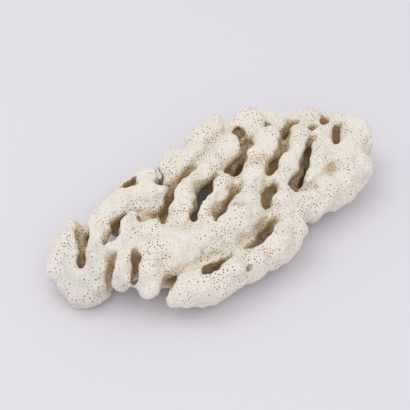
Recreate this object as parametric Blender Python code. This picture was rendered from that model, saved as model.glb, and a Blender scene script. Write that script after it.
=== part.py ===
# A fragment of branching coral, lying flat. +X runs along it from the foot to the far end, +Z is up.
# Its ridges are fused side by side, with slots between them, and it is split at its main forks.
import math
import random

import bmesh
import bpy
from mathutils import Matrix, Vector

MM = 0.001

# Driving dimensions, in millimetres
READ_HEIGHT = 25.0          # height of the plane on which the strands' plan places were read
EYE = (-298.4, -382.0, 504.7)   # where the plan was read from
GAP = 0.35                  # clearance between two branches at a fork
GRAIN = 1.5                 # size of the voxels that fuse a branch's strands
SLOT_GRAIN = 0.8            # size of the voxels that fuse the slots
SLOT_STEPS = 8              # ovals from one point of a slot to the next
FILLET = 1.6                # radius of the saddles where strands meet
SLOT_RISE = 6.0             # height of a slot's widest level above its mouth
SLOT_EASE = 0.3             # extra half width, which the smoothing takes back
SLOT_WANDER = 0.7           # how far a slot's ovals may stray from its line
STEP = 0.35                 # spacing of the beads along a strand, as a share of their radius
LUMPINESS = 0.10            # how far a bead's radius may differ from its strand's, as a share
KEPT_FACES = 0.038          # share of the voxel faces that a branch keeps
SEED = 7

CORAL_COLOUR = (0.80, 0.77, 0.70, 1.0)
CORAL_ROUGHNESS = 0.85

# Each strand is a run of (x, y, height, radius) at its centre line. A branch is one or more strands.
BRANCHES = {
    "foot": [
        [(-104, -13, 11.5, 14), (-102, 0, 14, 13.5), (-97, 10, 19, 11), (-90, 21, 23, 8.5),
         (-81, 32, 26, 4.5)],
        [(-108, 10, 17, 7.5), (-99, 13, 18, 9)],
        [(-104, -13, 11.5, 14), (-93, -14, 14, 11.5)],
        [(-84, 24, 21, 5.5), (-76, 26, 19, 4)],
        [(-96, 0, 12, 8), (-87, 12, 13, 7), (-79, 22, 14, 6)],
        [(-94, -16, 10, 9), (-83, -9, 12, 8), (-75, -3, 15, 7)],
    ],
    "left_rim": [
        [(-88, -8, 19, 10), (-81, 4, 24, 7.5), (-73, 14, 27, 7), (-64, 25, 28, 7.5), (-50, 29, 28, 8),
         (-38, 29, 28, 8), (-28, 27, 29, 9), (-19, 31, 28, 8.5)],
        [(-62, 29, 28, 5.5), (-59, 36, 27, 4.5)],
        [(-47, 36, 26, 5), (-37, 43, 25, 4), (-27, 44, 25, 4), (-15, 40, 26, 5.5), (-17, 32, 26, 7)],
        [(-39, 20, 24, 8), (-28, 18, 27, 10), (-22, 20, 28, 9)],
        [(-60, 15, 15, 7), (-49, 24, 14, 8), (-36, 27, 14, 9), (-22, 24, 14, 9)],
        [(-40, 36, 20, 8), (-38, 38, 8, 9)],
        [(-20, 31, 24, 8), (-24, 30, 14, 9)],
    ],
    "back_rim": [
        [(-15, 20, 20, 6), (-8, 29, 26, 7), (2, 40, 28, 7.5), (8, 44, 28, 7.5)],
        [(0, 33, 27, 8), (11, 33, 28, 7.5), (22, 38, 29, 8), (32, 45, 30, 9.5), (44, 48, 31, 9.5),
         (53, 54, 33, 6.5), (56, 59, 34, 4)],
        [(26, 46, 28, 7), (31, 51, 28, 6)],
        [(-8, 25, 15, 8), (5, 29, 15, 9), (18, 32, 15, 9), (32, 37, 16, 9), (46, 40, 17, 8)],
        [(14, 34, 20, 8), (20, 38, 8, 9)],
    ],
    "far_rim": [
        [(50, 44, 28, 6), (60, 42, 30, 7.5), (69, 44, 31, 7.5), (79, 41, 31, 7), (87, 38, 31, 5.5)],
        [(57, 32, 31, 5), (69, 37, 32, 7.5), (78, 36, 30, 6), (82, 28, 27, 6)],
        [(96, 28, 29, 5), (87, 26, 29, 7), (80, 19, 25, 6.5), (77, 12, 20, 6)],
        [(58, 36, 18, 8), (70, 38, 18, 9), (80, 30, 18, 8), (80, 20, 18, 7)],
        [(70, 41, 21, 8.5), (69, 43, 8, 9.5)],
    ],
    "main_ridge": [
        [(-72, 2, 28, 7), (-64, 1, 30, 8.5), (-53, 1, 30, 8.5), (-42, -5, 29, 8), (-33, -8, 27, 8)],
        [(-55, 9, 31, 7), (-48, 16, 31, 6)],
        [(-40, -1, 31, 6), (-35, 5, 32, 4.5), (-32, 9, 34, 2.5)],
        [(-62, -12, 29, 9), (-48, -20, 29, 11), (-35, -28, 27, 12), (-20, -30, 26, 12), (-5, -31, 26, 12),
         (8, -27, 27, 12), (20, -23, 28, 10)],
        [(-53, -5, 28, 9), (-50, -18, 28, 10)],
        [(-55, -30, 22, 9), (-42, -37, 20, 9.5), (-28, -39, 20, 9.5), (-12, -40, 20, 9.5),
         (4, -38, 21, 9.5), (18, -34, 22, 9)],
        [(-17, -24, 31, 7), (-12, -19, 35, 4.5)],
        [(5, -16, 33, 5), (10, -12, 35, 3.5), (17, -11, 34, 3.5), (24, -12, 32, 5)],
        [(-50, 5, 18, 8), (-40, 9, 16, 8), (-30, 14, 16, 8)],
        [(-74, -20, 13, 7), (-66, -10, 15, 8), (-55, -8, 16, 9), (-40, -12, 16, 9), (-25, -20, 15, 10),
         (-8, -24, 15, 10), (10, -22, 15, 9)],
        [(-16, -20, 14, 7), (-7, -18, 13, 7), (4, -12, 13, 7), (16, -7, 14, 8), (26, -3, 15, 8)],
    ],
    "left_finger": [
        [(-65, -1, 29, 7.5), (-73, -12, 27, 8), (-79, -22, 23, 7.5), (-83, -28, 19, 6.5)],
    ],
    "right_finger": [
        [(-57, -19, 29, 9), (-65, -28, 26, 9.5), (-73, -36, 21, 7.5)],
        [(-64, -33, 14, 9), (-54, -37, 14, 9)],
    ],
    "front_ridge": [
        [(-63, -52, 16, 8.5), (-49, -56, 18, 12), (-37, -59, 18, 12), (-24, -60, 18, 11.5),
         (-11, -59, 18, 11), (6, -59, 19, 11.5), (21, -56, 21, 11), (28, -55, 21, 9)],
        [(-25, -57, 26, 8), (-16, -53, 31, 4)],
        [(18, -52, 27, 6.5), (26, -50, 28, 4.5)],
        [(-54, -44, 12, 8), (-44, -49, 10, 9), (-34, -54, 9, 11), (-22, -50, 10, 9), (-6, -48, 12, 9),
         (8, -45, 12, 9), (22, -43, 13, 9)],
    ],
    "knob_ridge": [
        [(-27, -9, 27, 9.2), (-18, 0, 29, 10), (-9, 13, 31, 9.6), (0, 18, 31, 7.5), (10, 18, 31, 7.5),
         (22, 20, 31, 8.5), (34, 25, 31, 9), (44, 30, 32, 8.5), (51, 33, 32, 6.5)],
        [(13, 20, 33, 5), (18, 26, 35, 3)],
        [(-28, -4, 16, 8), (-20, 6, 16, 8), (-8, 16, 16, 8), (6, 19, 16, 8), (20, 20, 17, 8),
         (34, 26, 18, 8)],
        [(20, 20, 17, 8), (18, 13, 15, 6), (12, 6, 15, 6)],
    ],
    "inner_ridge": [
        [(-19, -14, 27, 7), (-6, -8, 28, 9), (6, -3, 29, 8.7), (17, 3, 30, 7.5), (24, 7, 32, 5),
         (26, 10, 34, 3)],
        [(15, -2, 24, 6), (26, -3, 22, 6.5)],
    ],
    "middle_ridge": [
        [(68, 22, 32, 10), (70, 10, 31, 8), (57, 9, 31, 8), (46, 11, 30, 6.5), (35, 6, 28, 5),
         (27, 0, 26, 5)],
        [(28, 10, 17, 8), (40, 17, 17, 8), (54, 23, 18, 8), (66, 28, 20, 8)],
        [(68, 16, 22, 9), (62, 8, 18, 8), (50, 4, 17, 8), (38, 2, 17, 8)],
    ],
    "short_ridge": [
        [(47, -5, 30, 8), (36, -5, 31, 9), (25, -12, 30, 8), (18, -19, 27, 7)],
        [(22, -26, 15, 8), (34, -23, 15, 9), (46, -18, 16, 9)],
        [(46, -10, 24, 8), (38, -12, 20, 8), (26, -18, 18, 8)],
    ],
    "right_ridge": [
        [(42, -16, 28, 6.5), (51, -15, 31, 7), (61, -10, 32, 7.5), (71, -6, 32, 7), (80, -1, 32, 6.5),
         (88, 7, 31, 9), (97, 13, 31, 7.5)],
        [(50, -6, 17, 8), (62, 0, 17, 8), (73, 6, 17, 8), (84, 10, 18, 8), (92, 12, 20, 7)],
    ],
    "far_knobs": [
        [(97, 18, 29, 6), (104, 20, 30, 6.5), (109, 24, 30, 6.5)],
        [(105, 21, 30, 7), (108, 14, 31, 6.5), (113, 17, 28, 4)],
        [(94, 4, 29, 6.5), (103, 1, 31, 7.5), (112, 4, 29, 5), (121, 6, 29, 5.5)],
        [(96, 6, 20, 7), (106, 8, 20, 8), (114, 10, 22, 7)],
    ],
    "right_end": [
        [(112, 0, 26, 5), (119, -6, 29, 8), (123, -12, 28, 10.5), (114, -22, 25, 11), (104, -24, 27, 10),
         (97, -27, 28, 9)],
        [(101, -10, 30, 6), (93, -8, 32, 6.5), (87, -14, 32, 7), (77, -22, 31, 7), (65, -28, 28, 6)],
        [(90, -20, 28, 8), (97, -27, 28, 9)],
        [(50, -23, 16, 8), (62, -20, 16, 8), (74, -14, 14, 7), (86, -8, 16, 8), (98, -6, 18, 8),
         (110, -5, 19, 7)],
        [(100, -22, 18, 9), (112, -14, 18, 9)],
    ],
    "right_flank": [
        [(103, -37, 20, 9), (92, -41, 20, 12), (78, -44, 19, 12.5), (64, -45, 18, 12.5), (50, -43, 19, 12),
         (37, -44, 20, 10)],
        [(45, -22, 33, 5), (39, -30, 30, 8), (33, -38, 25, 9)],
        [(26, -38, 13, 8), (36, -37, 13, 9), (48, -38, 12, 9)],
        [(72, -42, 16, 11), (70, -38, 8, 11)],
    ],
}

# Each slot between the ridges is a run of (x, y, mouth height, floor height, half width at the mouth).
SLOTS = {
    "foot_slot": [(-94, 3, 26, 9, 1.8), (-90, 9, 27, 9, 2.3), (-85, 17, 28, 12, 2.3),
                  (-79, 26, 28, 19, 1.9)],
    "rim_slot": [(-71, 7, 31, 0, 2.3), (-65, 10, 32, 5, 3.2), (-57, 18, 33, 12, 3.0),
                 (-47, 23, 33, 19, 2.3)],
    "rim_hole": [(-36, 38, 31, 8, 2.4), (-30, 41, 31, 8, 2.9), (-25, 42, 31, 10, 2.5)],
    "inner_pit": [(-44, 7, 33, 18, 2.3), (-35, 10, 33, 20, 2.3)],
    "knob_slot": [(-35, -2, 32, 22, 2.0), (-28, 7, 34, 16, 2.4), (-18, 15, 34, 13, 2.5),
                  (-8, 22, 34, 9, 2.7), (2, 26, 34, 12, 2.7), (14, 28, 34, 19, 2.3)],
    "notch": [(-16, 28, 32, 16, 1.5), (-12, 34, 31, 8, 1.7), (-8, 41, 29, 0, 2.0)],
    "through_slot": [(-17, -9, 33, 6, 1.7), (-8, -1, 34, -6, 2.5), (0, 3, 34, -2, 2.6),
                     (10, 8, 34, 10, 2.4), (20, 12, 34, 17, 2.0)],
    "long_slot": [(-9, -22, 33, 21, 1.8), (-4, -18, 33, 15, 2.4), (5, -13, 34, 12, 2.9),
                  (13, -9, 34, 14, 2.6), (25, -5, 33, 20, 2.0)],
    "dimple": [(12, -20, 36, 28, 1.4), (18, -16, 36, 28, 1.4)],
    "middle_slot": [(32, 8, 32, 17, 2.2), (38, 13, 34, 8, 3.0), (46, 18, 34, 6, 3.4),
                    (54, 22, 34, 17, 2.2)],
    "right_slot": [(48, -7, 33, 19, 1.9), (56, -2, 34, 11, 2.8), (63, 1, 34, 14, 2.5),
                   (70, 4, 34, 22, 2.2), (75, 10, 34, 24, 2.2), (82, 17, 34, 21, 2.2),
                   (90, 22, 33, 10, 2.2), (95, 21, 32, 0, 2.1)],
    "short_slot": [(25, -27, 32, 22, 1.8), (33, -23, 33, 17, 2.3), (40, -19, 34, 14, 2.8),
                   (46, -16, 33, 20, 2.0)],
    "dark_slot": [(50, -25, 33, 23, 1.7), (60, -21, 33, 17, 1.9), (72, -16, 34, 6, 2.4),
                  (78, -10, 34, 8, 2.3), (85, -4, 34, 16, 2.0), (93, -1, 34, 22, 1.8)],
    "step": [(56, -31, 30, 17, 1.8), (69, -33, 31, 20, 1.6)],
    "end_slot": [(105, -11, 33, 20, 2.2), (111, -4, 33, 15, 2.8), (117, 0, 31, 20, 1.9)],
    "knob_pit": [(110, 7, 33, 18, 2.0), (116, 13, 31, 18, 2.3)],
    "small_pit": [(99, 8, 35, 23, 1.6), (105, 10, 35, 23, 1.8)],
    "rim_slit": [(77, 27, 33, 12, 2.2), (81, 34, 34, 18, 2.0)],
    "rim_pit": [(53, 34, 34, 15, 2.5), (60, 38, 34, 14, 3.0)],
    "finger_slot": [(-89, -21, 18, 2, 2.2), (-81, -13, 24, 8, 2.6), (-75, -7, 28, 17, 2.1)],
    "two_finger_slot": [(-80, -34, 17, 0, 1.8), (-72, -27, 22, 5, 2.1), (-67, -19, 27, 8, 2.4),
                        (-61, -9, 33, 18, 2.2)],
    "front_slot": [(-68, -45, 19, -6, 2.3), (-60, -43, 22, -2, 2.9), (-53, -41, 26, 4, 2.6)],
    "front_hole": [(-40, -51, 27, -4, 2.6), (-33, -48, 29, -8, 3.5), (-26, -46, 31, -2, 3.2),
                   (-15, -46, 31, 9, 2.2)],
    "front_groove": [(-3, -48, 29, 9, 2.2), (8, -46, 30, 1, 3.3), (18, -43, 30, 1, 3.4),
                     (26, -39, 30, 8, 2.8)],
}


def at_own_height(x, y, height):
    # Slides a place that was read at READ_HEIGHT along the line of sight to its own height.
    share = (EYE[2] - height) / (EYE[2] - READ_HEIGHT)
    return Vector((EYE[0] + (x - EYE[0]) * share, EYE[1] + (y - EYE[1]) * share, height))


def along(points, t):
    # The point and radius at t, from 0 to the number of spans, on a smooth curve through the points.
    last = len(points) - 1
    i = min(int(t), last - 1)
    p0, p1, p2, p3 = (points[min(max(k, 0), last)] for k in (i - 1, i, i + 1, i + 2))
    u = t - i
    return [
        0.5 * (2 * b + (c - a) * u + (2 * a - 5 * b + 4 * c - d) * u * u + (3 * b - a - 3 * c + d) * u ** 3)
        for a, b, c, d in zip(p0, p1, p2, p3)
    ]


def beads_of(strand, rng):
    # Overlapping balls along a strand, as (centre, radius).
    points = [(*at_own_height(x, y, height), radius) for x, y, height, radius in strand]
    beads = []
    t, last = 0.0, len(points) - 1
    while t < last:
        x, y, z, radius = along(points, t)
        beads.append((Vector((x, y, z)), radius * (1 + rng.uniform(-LUMPINESS, LUMPINESS))))
        i = min(int(t), last - 1)
        span = math.dist(points[i][:3], points[i + 1][:3])
        t += STEP * radius / span
    x, y, z, radius = points[last]
    beads.append((Vector((x, y, z)), radius))
    return beads


def slots_cutter(rng):
    # One body of narrow upright ovals along every slot, fused together.
    mesh = bpy.data.meshes.new("slots")
    shape = bmesh.new()
    for slot in SLOTS.values():
        points = [(*at_own_height(x, y, mouth), floor, half) for x, y, mouth, floor, half in slot]
        for i in range(len(points) - 1):
            for k in range(SLOT_STEPS + 1):
                x, y, mouth, floor, half = along(points, i + k / SLOT_STEPS)
                level = mouth + SLOT_RISE
                x += rng.uniform(-SLOT_WANDER, SLOT_WANDER)
                y += rng.uniform(-SLOT_WANDER, SLOT_WANDER)
                wide = (half + SLOT_EASE) * MM
                size = Matrix.Diagonal((wide, wide, (level - floor) * MM, 1))
                place = Matrix.Translation((x * MM, y * MM, level * MM))
                bmesh.ops.create_icosphere(shape, subdivisions=2, radius=1, matrix=place @ size)
    shape.to_mesh(mesh)
    shape.free()
    cutter = cutter_from("slots_cutter", mesh)
    add_remesh(cutter, SLOT_GRAIN)
    return baked(cutter)


def linked(name, mesh):
    obj = bpy.data.objects.new(name, mesh)
    bpy.context.scene.collection.objects.link(obj)
    return obj


def baked(obj):
    # The object's mesh with its modifiers applied, in place of its own.
    graph = bpy.context.evaluated_depsgraph_get()
    mesh = bpy.data.meshes.new_from_object(obj.evaluated_get(graph))
    obj.modifiers.clear()
    obj.data = mesh
    return obj


def add_remesh(obj, grain):
    remesh = obj.modifiers.new("Fuse", "REMESH")
    remesh.mode = "VOXEL"
    remesh.voxel_size = grain * MM


def add_swell(obj, strength):
    swell = obj.modifiers.new("Swell", "DISPLACE")
    swell.strength = strength * MM
    swell.mid_level = 0.0


def fuse(obj, slots):
    # Fuses the beads into one skin, fills the creases to a saddle, sinks the slots and thins the faces.
    for strength in (FILLET, -FILLET):
        add_remesh(obj, GRAIN)
        add_swell(obj, strength)
    add_remesh(obj, GRAIN)
    cut(obj, slots)
    add_remesh(obj, GRAIN)
    smooth = obj.modifiers.new("Smooth", "SMOOTH")
    smooth.factor = 0.5
    smooth.iterations = 2
    thin = obj.modifiers.new("Thin", "DECIMATE")
    thin.ratio = KEPT_FACES
    thin.use_collapse_triangulate = True
    return baked(obj)


def cut(obj, cutter):
    # The exact solver turns some branches inside out here, and this one keeps every closed body closed.
    boolean = obj.modifiers.new("Cut", "BOOLEAN")
    boolean.operation = "DIFFERENCE"
    boolean.solver = "MANIFOLD"
    boolean.object = cutter


def cutter_from(name, mesh):
    obj = linked(name, mesh)
    obj.hide_render = True
    obj.display_type = "WIRE"
    return obj


def table_cutter():
    # A block under the table's surface, which cuts the feet flat.
    mesh = bpy.data.meshes.new("table")
    shape = bmesh.new()
    bmesh.ops.create_cube(shape, size=0.5)
    bmesh.ops.translate(shape, verts=shape.verts, vec=(0, 0, -0.25))
    shape.to_mesh(mesh)
    shape.free()
    return cutter_from("table_cutter", mesh)


def clearance_of(obj):
    # The branch grown by the gap, for trimming those that meet it.
    cutter = cutter_from(obj.name + "_clearance", obj.data.copy())
    add_swell(cutter, GAP)
    return baked(cutter)


def boxes_meet(a, b):
    return all(
        min(c[k] for c in a.bound_box) < max(c[k] for c in b.bound_box)
        and min(c[k] for c in b.bound_box) < max(c[k] for c in a.bound_box)
        for k in range(3)
    )


def keep_largest_piece(obj):
    # Trimming can leave crumbs: only the largest piece of a branch is kept.
    shape = bmesh.new()
    shape.from_mesh(obj.data)
    left = set(shape.verts)
    pieces = []
    while left:
        todo = [left.pop()]
        piece = list(todo)
        while todo:
            for edge in todo.pop().link_edges:
                for vert in edge.verts:
                    if vert in left:
                        left.remove(vert)
                        piece.append(vert)
                        todo.append(vert)
        pieces.append(piece)
    pieces.sort(key=len)
    for piece in pieces[:-1]:
        bmesh.ops.delete(shape, geom=piece, context="VERTS")
    print(obj.name, "pieces:", [len(p) for p in pieces])
    shape.to_mesh(obj.data)
    shape.free()


def coral_material():
    material = bpy.data.materials.new("coral")
    material.use_nodes = True
    shader = material.node_tree.nodes["Principled BSDF"]
    shader.inputs["Base Color"].default_value = CORAL_COLOUR
    shader.inputs["Roughness"].default_value = CORAL_ROUGHNESS
    shader.inputs["Metallic"].default_value = 0.0
    return material


def stand_on_origin(branches):
    # Moves the coral so that the origin is at the middle of its footprint, on the table.
    corners = [vert.co for obj in branches for vert in obj.data.vertices]
    low, high = ([pick(c[k] for c in corners) for k in range(3)] for pick in (min, max))
    shift = Matrix.Translation((-(low[0] + high[0]) / 2, -(low[1] + high[1]) / 2, -low[2]))
    for obj in branches:
        obj.data.transform(shift)
    print("moved by", shift.translation, "size", [h - l for l, h in zip(low, high)])


def branch(name, strands, slots, rng):
    mesh = bpy.data.meshes.new(name)
    shape = bmesh.new()
    for strand in strands:
        for centre, radius in beads_of(strand, rng):
            made = bmesh.ops.create_icosphere(shape, subdivisions=3, radius=radius * MM)
            bmesh.ops.translate(shape, verts=made["verts"], vec=centre * MM)
    shape.to_mesh(mesh)
    shape.free()
    return fuse(linked(name, mesh), slots)


def build():
    for obj in list(bpy.data.objects):
        bpy.data.objects.remove(obj)
    rng = random.Random(SEED)
    material = coral_material()
    table = table_cutter()
    slots = slots_cutter(rng)
    branches = []
    clearances = []
    for name, strands in BRANCHES.items():
        obj = branch(name, strands, slots, rng)
        cut(obj, table)
        for other, clearance in zip(branches, clearances):
            if boxes_meet(obj, clearance):
                cut(obj, clearance)
                cut(obj, other)
        baked(obj)
        keep_largest_piece(obj)
        obj.data.materials.clear()
        obj.data.materials.append(material)
        obj.data.shade_smooth()
        branches.append(obj)
        clearances.append(clearance_of(obj))
    stand_on_origin(branches)


build()
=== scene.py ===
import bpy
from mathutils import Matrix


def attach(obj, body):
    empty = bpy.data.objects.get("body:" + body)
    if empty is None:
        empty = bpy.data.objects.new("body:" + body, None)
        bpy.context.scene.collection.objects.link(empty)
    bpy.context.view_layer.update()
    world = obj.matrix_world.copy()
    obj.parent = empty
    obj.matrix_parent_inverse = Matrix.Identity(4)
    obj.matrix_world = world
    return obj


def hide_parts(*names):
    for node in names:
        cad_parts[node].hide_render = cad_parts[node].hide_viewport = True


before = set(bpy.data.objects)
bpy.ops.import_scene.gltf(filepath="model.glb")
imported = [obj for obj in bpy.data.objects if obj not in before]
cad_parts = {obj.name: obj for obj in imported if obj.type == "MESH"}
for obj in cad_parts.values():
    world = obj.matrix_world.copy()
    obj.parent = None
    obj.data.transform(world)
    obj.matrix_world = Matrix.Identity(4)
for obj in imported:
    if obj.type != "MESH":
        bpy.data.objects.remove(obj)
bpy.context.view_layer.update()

import math
import random

import bmesh
import bpy
import numpy as np
from mathutils import Vector, kdtree, noise
from mathutils.bvhtree import BVHTree

mm = 0.001

# the pieces that are seen, and the solids that each of them stands for
pieces = {
    "coral_foot": ("foot",),
    "coral_left_arch": ("left_rim",),
    "coral_back_lobes": ("back_rim",),
    "coral_far_lobes": ("far_rim", "far_knobs"),
    "coral_front_ridge": ("front_ridge",),
    "coral_right_flank": ("right_flank",),
    "coral_right_end": ("right_end",),
    "coral_middle_branches": ("middle_ridge", "short_ridge", "right_ridge"),
    "coral_inner_branches": ("knob_ridge", "inner_ridge"),
    "coral_main_ridge": ("main_ridge", "left_finger", "right_finger"),
}

skin = {
    "grain": 1.0,           # voxel size in mm
    "webbing": 1.0,         # creases narrower than twice this are filled
    "smoothing": 3,
    "lumps": [(17.0, 1.8), (9.5, 2.6), (4.8, 0.8), (2.4, 0.3)],   # size and height in mm
    "faces": 120000,        # triangles before the pores
    "reach": 4.0,           # how far a piece reaches past its solids, in mm
    "reachGrain": 2.0,      # voxel size of that reach
    "seed": 11,
}


def linked(name, mesh):
    obj = bpy.data.objects.new(name, mesh)
    bpy.context.scene.collection.objects.link(obj)
    return obj


def applied(obj):  # the object with its modifiers worked into its mesh
    shape = obj.evaluated_get(bpy.context.evaluated_depsgraph_get())
    mesh = bpy.data.meshes.new_from_object(shape)
    obj.modifiers.clear()
    old = obj.data
    obj.data = mesh
    bpy.data.meshes.remove(old)
    return obj


def addRemesh(obj, grain):
    step = obj.modifiers.new("remesh", "REMESH")
    step.mode = "VOXEL"
    step.voxel_size = grain * mm


def addSwell(obj, depth):
    step = obj.modifiers.new("swell", "DISPLACE")
    step.strength = depth * mm
    step.mid_level = 0.0


def addSmooth(obj, rounds):
    step = obj.modifiers.new("smooth", "SMOOTH")
    step.factor = 0.5
    step.iterations = rounds


def joined(name, nodes):  # a copy of these solids in one mesh
    form = bmesh.new()
    for node in nodes:
        form.from_mesh(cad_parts[node].data)
    bmesh.ops.remove_doubles(form, verts=form.verts, dist=1e-7)
    mesh = bpy.data.meshes.new(name)
    form.to_mesh(mesh)
    form.free()
    return linked(name, mesh)


def keepOuterShell(obj):  # drops the pockets that are sealed inside
    form = bmesh.new()
    form.from_mesh(obj.data)
    left = set(form.verts)
    shells = []
    while left:
        todo = [left.pop()]
        shell = []
        while todo:
            vert = todo.pop()
            shell.append(vert)
            for edge in vert.link_edges:
                other = edge.other_vert(vert)
                if other in left:
                    left.remove(other)
                    todo.append(other)
        shells.append(shell)
    shells.sort(key=len)
    for shell in shells[:-1]:
        bmesh.ops.delete(form, geom=shell, context="VERTS")
    form.to_mesh(obj.data)
    form.free()
    return len(shells)


def makeSkin():
    obj = joined("skin", sorted(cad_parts))
    addSwell(obj, skin["webbing"])
    addRemesh(obj, skin["grain"])
    addSwell(obj, -skin["webbing"])
    addRemesh(obj, skin["grain"])
    addSmooth(obj, skin["smoothing"])
    applied(obj)
    print("skin shells", keepOuterShell(obj), "faces", len(obj.data.polygons))
    raiseLumps(obj)
    sinkHoles(obj)
    step = obj.modifiers.new("thin", "DECIMATE")
    step.ratio = skin["faces"] / (2 * len(obj.data.polygons))   # two triangles for each square face
    step.use_collapse_triangulate = True
    return applied(obj)


def readVectors(mesh, what):  # places or directions, three numbers a vertex
    values = np.empty(len(mesh.vertices) * 3, dtype=np.float32)
    mesh.vertices.foreach_get(what, values)
    return values.reshape(-1, 3)


def raiseLumps(obj):  # uneven growth, and never under the surface it lies on
    places = readVectors(obj.data, "co")
    outward = readVectors(obj.data, "normal")
    rise = np.zeros(len(places), dtype=np.float32)
    for size, height in skin["lumps"]:
        shift = Vector((skin["seed"], size, 0))
        rise += [height * mm * noise.noise(Vector(place) / (size * mm) + shift) for place in places]
    places += outward * rise[:, None]
    places[:, 2] = np.maximum(places[:, 2], 0)
    obj.data.vertices.foreach_set("co", places.ravel())
    obj.data.update()


# single holes in the ridges, each from one end to the other, in mm
holes = [
    {"name": "rim hole", "from": (-44.5, 38.7, 28), "to": (-36.5, 39.7, 28), "width": 2.3, "depth": 7.5},
    {"name": "side hole", "from": (-24.7, -63.9, 25), "to": (-23.5, -63.3, 26), "width": 1.7, "depth": 4.5},
    {"name": "dimple", "from": (-6.0, -25.0, 38), "to": (-2.0, -29.5, 38), "width": 2.2, "depth": 4.0},
    {"name": "far pit", "from": (44.0, 33.5, 32), "to": (46.5, 33.0, 33), "width": 2.2, "depth": 5.0},
    {"name": "arch pit", "from": (-55.0, 4.5, 33), "to": (-50.5, 6.0, 33), "width": 2.4, "depth": 6.0},
    {"name": "near slot", "from": (-66.5, -38.3, 17), "to": (-60.0, -37.7, 20), "width": 2.0, "depth": 6.0},
]


def sinkHoles(obj):
    places = readVectors(obj.data, "co")
    outward = readVectors(obj.data, "normal")
    for hole in holes:
        ends = [np.array(hole[end]) * mm for end in ("from", "to")]
        start, end = (places[np.linalg.norm(places - spot, axis=1).argmin()] for spot in ends)
        run = end - start
        share = np.clip((places - start) @ run / (run @ run), 0, 1)
        away = np.linalg.norm(places - start - share[:, None] * run, axis=1)
        near = np.clip(1 - (away / (hole["width"] * mm)) ** 2, 0, 1)
        way = (outward * near[:, None]).sum(axis=0)
        way /= np.linalg.norm(way)
        places = places - way * (hole["depth"] * mm * np.sqrt(near))[:, None]
        print(hole["name"], int((near > 0).sum()), "points")
    obj.data.vertices.foreach_set("co", places.astype(np.float32).ravel())
    obj.data.update()


def boolean(obj, other, operation):
    step = obj.modifiers.new("part", "BOOLEAN")
    step.operation = operation
    step.solver = "MANIFOLD"
    step.object = other


def takePiece(rest, name, nodes):  # cuts these solids' share out of the skin
    share = joined("share", nodes)
    addSwell(share, skin["reach"])
    addRemesh(share, skin["reachGrain"])
    applied(share)
    piece = linked(name, rest.data.copy())
    boolean(piece, share, "INTERSECT")
    applied(piece)
    boolean(rest, share, "DIFFERENCE")
    applied(rest)
    bpy.data.objects.remove(share)
    return piece


# how closed in each place is; the finish paints shade from it, partly standing for sand and dirt that
# gather there
opening = {
    "rays": 14,
    "range": 22.0,          # how far each ray looks, in mm
    "lift": 0.4,            # where it starts over the surface, in mm
    "rounds": 2,            # of smoothing afterwards
}


def rayFan(count):  # directions spread round +Z, more of them near it
    fan = []
    for i in range(count):
        out = math.sqrt((i + 0.5) / count)
        turn = i * math.pi * (3 - math.sqrt(5))
        fan.append((out * math.cos(turn), out * math.sin(turn), math.sqrt(1 - out * out)))
    return np.array(fan)


def closeness(obj):  # 0 on open tops, 1 deep in a slot
    places = readVectors(obj.data, "co")
    outward = readVectors(obj.data, "normal")
    tree = BVHTree.FromObject(obj, bpy.context.evaluated_depsgraph_get())
    helper = np.where(np.abs(outward[:, 2:3]) < 0.9, [[0, 0, 1.0]], [[1.0, 0, 0]])
    side = np.cross(helper, outward)
    side /= np.linalg.norm(side, axis=1)[:, None]
    other = np.cross(outward, side)
    starts = [Vector(start) for start in places + outward * opening["lift"] * mm]
    reach = opening["range"] * mm
    hits = np.zeros(len(places))
    for x, y, z in rayFan(opening["rays"]):
        ways = side * x + other * y + outward * z
        met = [tree.ray_cast(start, Vector(way), reach)[0] for start, way in zip(starts, ways)]
        hits += [place is not None for place in met]
    return hits / opening["rays"]


def spreadValues(mesh, values, rounds):  # evens out a value along the edges
    ends = np.empty(len(mesh.edges) * 2, dtype=np.int32)
    mesh.edges.foreach_get("vertices", ends)
    one, two = ends[0::2], ends[1::2]
    count = np.bincount(ends, minlength=len(values))
    for _ in range(rounds):
        total = np.bincount(one, values[two], len(values)) + np.bincount(two, values[one], len(values))
        values = 0.5 * values + 0.5 * total / np.maximum(count, 1)
    return values


# the small cups that cover the coral, sizes in mm
pores = {
    "spacing": (1.4, 2.1),      # in hollows, and on worn tops
    "radii": (0.40, 0.50, 0.60, 0.70),
    "lip": (0.09, 0.12),        # width and drop of the rounded edge
    "well": (0.06, 0.60),       # taper and depth below it
    "wornWell": (0.06, 0.22),   # the same where the surface is worn down
    "spread": (0.9, 1.15),      # the spacing varies between these shares
    "fill": 0.88,               # most of the shortest edge beside it that a cup takes
    "leastEdge": 0.42,          # no cup beside an edge shorter than this
    "leastHeight": 0.6,         # nor closer to the floor than this
    "wornColour": 0.6,          # how much of a pore's colour a worn one has
    "patch": 16.0,              # size of the worn patches
    "wear": 0.55,               # how worn it is on average, on open tops
    "patchWear": 1.3,           # how much the patches change that
    "hollowWear": 1.4,          # how much less it is in hollows
    "seed": 5,
}
onSkin = 1e-6                   # a point that close to one of the skin's, in metres, is that point


def wornAt(place, close):  # 0 where the cups are crowded, 1 where they are worn away
    patch = noise.noise(place / (pores["patch"] * mm) + Vector((3, 1, 4)))
    return min(max(pores["wear"] + pores["patchWear"] * patch - pores["hollowWear"] * close, 0.0), 1.0)


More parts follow.
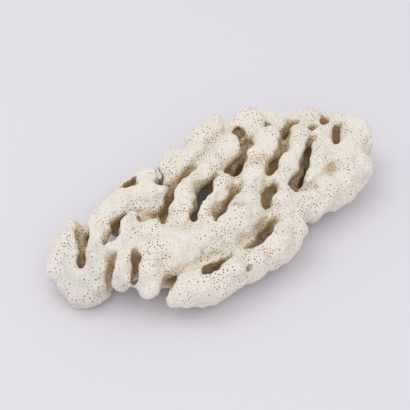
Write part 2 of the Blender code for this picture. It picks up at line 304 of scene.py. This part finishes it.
def placePores(form, isSkin, close, rng):
    least, most = (gap * mm for gap in pores["spacing"])
    low = pores["leastHeight"] * mm
    order = [vert for vert in form.verts if isSkin[vert.index] and vert.co.z > low]
    rng.shuffle(order)
    cells = {}
    chosen = {(radius, isWorn): [] for radius in pores["radii"] for isWorn in (False, True)}
    for vert in order:
        shortest = min(edge.calc_length() for edge in vert.link_edges) / mm
        if len(vert.link_edges) < 5 or shortest < pores["leastEdge"]:
            continue
        worn = wornAt(vert.co, close[vert.index])
        gap = (least + (most - least) * worn) * rng.uniform(*pores["spread"])
        cell = tuple(int(c // most) for c in vert.co)
        near = [
            other
            for x in range(cell[0] - 1, cell[0] + 2)
            for y in range(cell[1] - 1, cell[1] + 2)
            for z in range(cell[2] - 1, cell[2] + 2)
            for other in cells.get((x, y, z), ())
        ]
        if all((other - vert.co).length_squared > gap * gap for other in near):
            cells.setdefault(cell, []).append(vert.co.copy())
            isWorn = rng.random() < worn
            sizes = pores["radii"][:2] if isWorn else pores["radii"]
            widest = pores["fill"] * shortest
            fits = [radius for radius in sizes if radius < widest] or sizes[:1]
            chosen[rng.choice(fits), isWorn].append(vert)
    return chosen


def sinkPores(form, chosen, layer):
    for (radius, isWorn), verts in chosen.items():
        made = bmesh.ops.bevel(form, geom=verts, offset=radius * mm, offset_type="OFFSET", segments=1,
                               profile=0.5, affect="VERTICES", clamp_overlap=False)
        fresh = set(made["verts"])
        limit = 3.5 * (radius * mm) ** 2   # a cup's mouth is smaller than this
        small = [face for face in made["faces"] if face.calc_area() < limit]
        mouths = [face for face in small if fresh.issuperset(face.verts)]
        well, floorValue = (pores["wornWell"], pores["wornColour"]) if isWorn else (pores["well"], 1.0)
        for (width, drop), value in ((pores["lip"], 0.5 * floorValue), (well, floorValue)):
            bmesh.ops.inset_individual(form, faces=mouths, thickness=width * mm, depth=-drop * mm)
            for face in mouths:
                for vert in face.verts:
                    vert[layer] = value


def addPores(piece, skinTree, skinClose, rng):
    form = bmesh.new()
    form.from_mesh(piece.data)
    form.verts.ensure_lookup_table()
    poreLayer = form.verts.layers.float.new("pore")
    found = [skinTree.find(vert.co) for vert in form.verts]
    isSkin = [distance < onSkin for place, index, distance in found]
    close = [skinClose[index] for place, index, distance in found]
    chosen = placePores(form, isSkin, close, rng)
    sinkPores(form, chosen, poreLayer)
    closeLayer = form.verts.layers.float.new("close")
    for vert in form.verts:
        vert[closeLayer] = skinClose[skinTree.find(vert.co)[1]]
    bmesh.ops.triangulate(form, faces=[face for face in form.faces if len(face.verts) > 3])
    form.to_mesh(piece.data)
    form.free()
    return sum(len(verts) for verts in chosen.values())


print("skin")
rest = makeSkin()
print("openness")
# the closed-in measure, which the finish turns into painted shade
skinClose = spreadValues(rest.data, closeness(rest), opening["rounds"])
skinTree = kdtree.KDTree(len(rest.data.vertices))
for vert in rest.data.vertices:
    skinTree.insert(vert.co, vert.index)
skinTree.balance()
print("pieces")
coral = [takePiece(rest, name, nodes) for name, nodes in pieces.items()]
print("left over", len(rest.data.polygons), "faces")
bpy.data.objects.remove(rest)
rng = random.Random(pores["seed"])
for piece in coral:
    count = addPores(piece, skinTree, skinClose, rng)
    print(piece.name, count, "pores", len(piece.data.polygons), "faces")


class Wire:  # a socket that can stand in a sum
    def __init__(self, tree, socket=None):
        self.tree, self.socket = tree, socket

    def make(self, kind, settings, sockets, output=0):
        node = self.tree.nodes.new(kind)
        for name, value in settings.items():
            setattr(node, name, value)
        for name, value in sockets.items():
            if isinstance(value, Wire):
                self.tree.links.new(value.socket, node.inputs[name])
            else:
                node.inputs[name].default_value = value
        return Wire(self.tree, node.outputs[output])

    def maths(self, operation, one, two):
        return self.make("ShaderNodeMath", {"operation": operation}, {0: one, 1: two})

    def __add__(self, other):
        return self.maths("ADD", self, other)

    def __radd__(self, other):
        return self.maths("ADD", other, self)

    def __sub__(self, other):
        return self.maths("SUBTRACT", self, other)

    def __rsub__(self, other):
        return self.maths("SUBTRACT", other, self)

    def __mul__(self, other):
        return self.maths("MULTIPLY", self, other)

    def __rmul__(self, other):
        return self.maths("MULTIPLY", other, self)

    def step(self, low, high):  # rises smoothly from 0 at low to 1 at high
        sockets = {0: self, 1: low, 2: high, 3: 0.0, 4: 1.0}
        return self.make("ShaderNodeMapRange", {"interpolation_type": "SMOOTHSTEP"}, sockets)

    def noise(self, size, detail=2.0, roughness=0.5):  # size in mm, on a position
        sockets = {"Vector": self, "Scale": 1 / (size * mm), "Detail": detail, "Roughness": roughness}
        return self.make("ShaderNodeTexNoise", {}, sockets)

    def distance(self, spot):  # from a spot in metres, on a position
        return self.make("ShaderNodeVectorMath", {"operation": "DISTANCE"}, {0: self, 1: spot}, "Value")

    def blend(self, one, two):  # from colour one to colour two as the value rises
        one, two = ((*c, 1) if isinstance(c, tuple) else c for c in (one, two))
        return self.make("ShaderNodeMix", {"data_type": "RGBA"}, {0: self, 6: one, 7: two}, 2)


finish = {
    "broad": 22.0,          # sizes of what varies over the surface, in mm
    "patches": 9.0,
    "flecks": 1.6,
    "grain": 0.45,
    "bone": (0.80, 0.76, 0.685),
    "cream": (0.77, 0.73, 0.645),
    "grey": (0.62, 0.60, 0.555),
    # sand tone of the flecks, and of the painted shade in closed-in places
    "sandAndShadeTint": (0.66, 0.53, 0.34),
    # painted shade deep in the slots, with some dirt
    "slotShadeUmber": (0.42, 0.28, 0.13),
    "poreRim": (0.70, 0.55, 0.33),
    "poreFloor": (0.48, 0.30, 0.11),
    # painted shade: the cups in closed-in places are painted darker
    "shadedPoreRim": (0.36, 0.25, 0.13),
    "shadedPoreFloor": (0.17, 0.10, 0.045),
    "peach": (0.80, 0.66, 0.50),
    "ochre": (0.80, 0.58, 0.24),
    "greyPatches": 0.55,    # how strongly each colour is laid on, from 0 to 1
    "peachTint": 0.22,
    "sandFlecks": 0.20,
    "footGrey": (0.25, 0.6),    # all over the foot, and in its patches
    "stainTint": 0.75,
    # how strongly painted shade, partly sand, is laid into closed-in places
    "hollowShadeAndSand": 0.85,
    # how strongly painted shade, with some dirt, is laid deep in the slots
    "slotShadeAndDirt": 0.65,
    "roughness": 0.86,
    "specular": 0.25,
    "bump": 0.35,           # strength, and height in mm
    "crease": 52,           # edges bent more than this many degrees look sharp
    "stainAt": (0.0630, -0.0325, 0.0335),   # one small yellow stain at the right
    "stain": (1.4, 3.4),                    # where it starts to fade and where it ends, in mm
    "ragged": 2.0,                          # how uneven its edge is, in mm
    "footAt": (-0.105, -0.012, 0.012),      # the middle of the foot, which is worn and grey
    "footWear": (18.0, 48.0),               # where that starts to fade and where it ends, in mm
}


def coralFinish():
    material = bpy.data.materials.new("coral")
    material.use_nodes = True
    tree = material.node_tree
    shader = tree.nodes["Principled BSDF"]
    wire = Wire(tree)
    place = wire.make("ShaderNodeTexCoord", {}, {}, "Object")
    close = wire.make("ShaderNodeAttribute", {"attribute_name": "close"}, {}, "Fac")
    pore = wire.make("ShaderNodeAttribute", {"attribute_name": "pore"}, {}, "Fac")
    broad = place.noise(finish["broad"], 3.0)
    patches = place.noise(finish["patches"], 4.0, 0.6)
    flecks = place.noise(finish["flecks"], 3.0, 0.65)
    grain = place.noise(finish["grain"], 2.0, 0.6)
    colour = broad.step(0.40, 0.62).blend(finish["bone"], finish["cream"])
    colour = (patches.step(0.56, 0.72) * finish["greyPatches"]).blend(colour, finish["grey"])
    colour = ((1 - broad).step(0.52, 0.70) * finish["peachTint"]).blend(colour, finish["peach"])
    colour = (flecks.step(0.52, 0.75) * finish["sandFlecks"]).blend(colour, finish["sandAndShadeTint"])
    fromFoot, footEnd = (edge * mm for edge in finish["footWear"])
    footWear = 1 - place.distance(finish["footAt"]).step(fromFoot, footEnd)
    allOver, inPatches = finish["footGrey"]
    footWear = footWear * (allOver + patches.step(0.42, 0.64) * inPatches)
    colour = footWear.blend(colour, finish["grey"])
    fromStain, stainEnd = (edge * mm for edge in finish["stain"])
    ragged = place.distance(finish["stainAt"]) + (flecks - 0.5) * (finish["ragged"] * mm)
    stain = (1 - ragged.step(fromStain, stainEnd)) * finish["stainTint"]
    colour = stain.blend(colour, finish["ochre"])
    # painted shade: closed-in places turn sand-brown, standing for shade and warm bounced light there,
    # partly real sand
    shadeInHollows = (close + (patches - 0.5) * 0.25).step(0.24, 0.66)
    colour = (shadeInHollows * finish["hollowShadeAndSand"]).blend(colour, finish["sandAndShadeTint"])
    # painted shade: the most closed-in places turn umber, standing for shade deep in the slots, partly dirt
    shadeDeepInSlots = (close + (flecks - 0.5) * 0.2).step(0.55, 0.98)
    colour = (shadeDeepInSlots * finish["slotShadeAndDirt"]).blend(colour, finish["slotShadeUmber"])
    # painted shade: cups in closed-in places take the darker cup colours
    colour = pore.step(0.05, 0.60).blend(colour, shadeInHollows.blend(finish["poreRim"], finish["shadedPoreRim"]))
    colour = pore.step(0.55, 1.0).blend(colour, shadeInHollows.blend(finish["poreFloor"], finish["shadedPoreFloor"]))
    height = flecks * 0.6 + grain * 0.4
    sockets = {"Strength": finish["bump"], "Distance": finish["bump"] * mm, "Height": height}
    bump = wire.make("ShaderNodeBump", {}, sockets)
    tree.links.new(colour.socket, shader.inputs["Base Color"])
    tree.links.new(bump.socket, shader.inputs["Normal"])
    shader.inputs["Roughness"].default_value = finish["roughness"]
    shader.inputs["Specular IOR Level"].default_value = finish["specular"]
    return material


print("finish")
coralLook = coralFinish()
for piece in coral:
    piece.data.materials.clear()
    piece.data.materials.append(coralLook)
    piece.data.shade_smooth()
    piece.data.set_sharp_from_angle(angle=math.radians(finish["crease"]))
    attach(piece, "root")
    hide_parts(*pieces[piece.name])

# the floor, in metres
ground = {"size": 3.0, "colour": (0.73, 0.71, 0.745), "roughness": 0.9}

print("floor")
form = bmesh.new()
bmesh.ops.create_grid(form, x_segments=1, y_segments=1, size=ground["size"] / 2)
floorMesh = bpy.data.meshes.new("floor")
form.to_mesh(floorMesh)
form.free()
floor = linked("floor", floorMesh)
floorFinish = bpy.data.materials.new("floor")
floorFinish.use_nodes = True
shader = floorFinish.node_tree.nodes["Principled BSDF"]
shader.inputs["Base Color"].default_value = (*ground["colour"], 1)
shader.inputs["Roughness"].default_value = ground["roughness"]
floorMesh.materials.append(floorFinish)

# light, in metres and watts
lights = {
    "key": {"at": (-0.42, 0.55, 1.55), "size": 1.1, "power": 5.2, "colour": (1.0, 0.985, 0.96)},
    "fill": {"at": (-0.6, -0.9, 1.2), "size": 1.6, "power": 4.6, "colour": (0.99, 0.99, 1.0)},
}
sky = {"colour": (0.96, 0.96, 1.0), "strength": 0.84}

print("light")
for name, light in lights.items():
    lamp = bpy.data.lights.new(name, "AREA")
    lamp.energy = light["power"]
    lamp.size = light["size"]
    lamp.color = light["colour"]
    holder = bpy.data.objects.new(name, lamp)
    holder.location = light["at"]
    holder.rotation_euler = (-Vector(light["at"])).to_track_quat("-Z", "Y").to_euler()
    bpy.context.scene.collection.objects.link(holder)
world = bpy.data.worlds.new("sky")
world.use_nodes = True
world.node_tree.nodes["Background"].inputs["Color"].default_value = (*sky["colour"], 1)
world.node_tree.nodes["Background"].inputs["Strength"].default_value = sky["strength"]
bpy.context.scene.world = world
bpy.context.scene.view_settings.view_transform = "Standard"

# camera, in metres and degrees
camera = {
    "target": (-0.0096, -0.0002, 0.020),
    "azimuth": -38.0,
    "elevation": 45.0,
    "distance": 0.6855,
    "view": 22.0,           # the angle that it takes in
}

print("camera")
turn, rise = math.radians(camera["azimuth"]), math.radians(camera["elevation"])
back = Vector((math.sin(turn) * math.cos(rise), -math.cos(turn) * math.cos(rise), math.sin(rise)))
eye = bpy.data.objects.new("camera", bpy.data.cameras.new("camera"))
eye.data.lens = eye.data.sensor_width / 2 / math.tan(math.radians(camera["view"] / 2))
eye.location = Vector(camera["target"]) + back * camera["distance"]
eye.rotation_euler = (-back).to_track_quat("-Z", "Y").to_euler()
bpy.context.scene.collection.objects.link(eye)
bpy.context.scene.camera = eye
